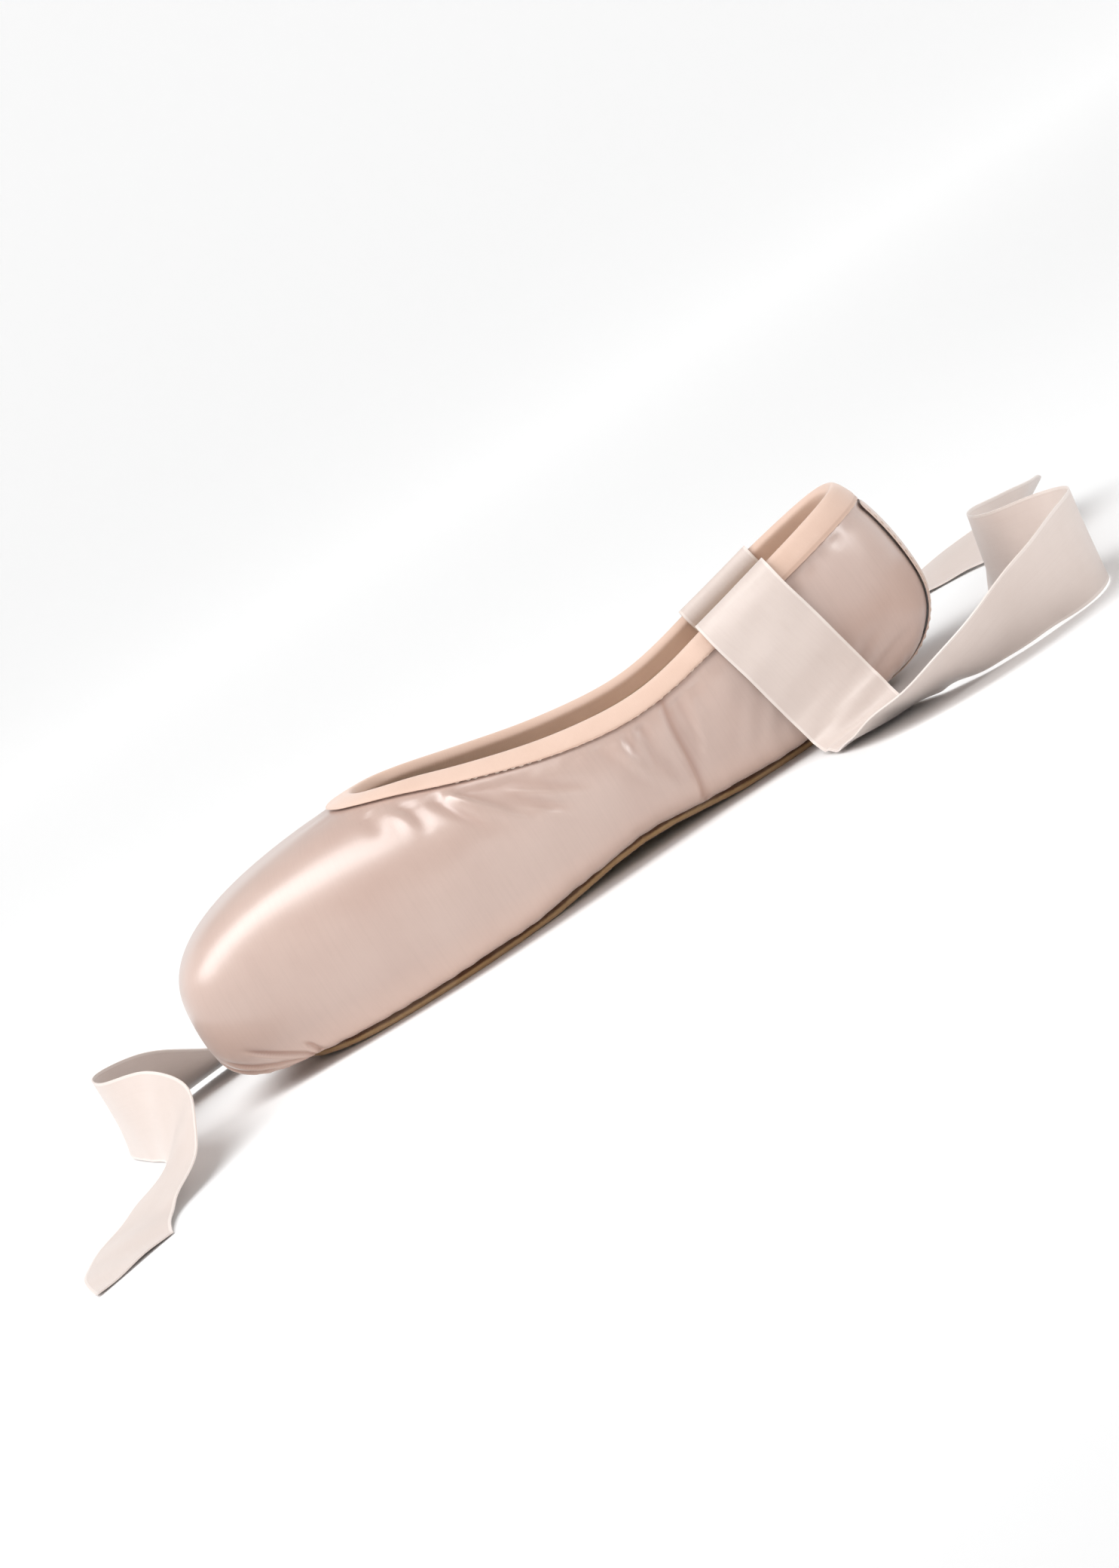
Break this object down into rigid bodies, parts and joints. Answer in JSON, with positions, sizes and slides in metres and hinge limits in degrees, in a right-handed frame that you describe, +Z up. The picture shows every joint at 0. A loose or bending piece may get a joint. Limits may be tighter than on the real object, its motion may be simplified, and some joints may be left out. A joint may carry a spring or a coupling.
{
  "type": "pointe shoe",
  "caption": "Satin pointe shoe with a hardened toe box, flat platform, bound collar, leather outsole and side ribbons.",
  "frame": {"origin": "centre of the shoe's bounding box in plan, on the floor it stands on", "axes": "+X from the heel to the toe, +Y to the shoe's left, +Z up"},
  "size_m": [0.3244, 0.2572, 0.0551],
  "materials": {
    "satin": "pale peach-pink satin with a soft sheen",
    "binding_satin": "matt peach tape",
    "sole_leather": "tan leather, scored under the ball",
    "sock_cotton": "undyed cotton sock",
    "ribbon_satin": "paler, cooler satin ribbon with a woven edge"
  },
  "bodies": {
    "root": {"upper": "satin", "outsole": "sole_leather", "insole": "sock_cotton", "collar_binding": "binding_satin", "back_strip": "satin", "ribbon_left": "ribbon_satin", "ribbon_right": "ribbon_satin"}
  },
  "joints": []
}
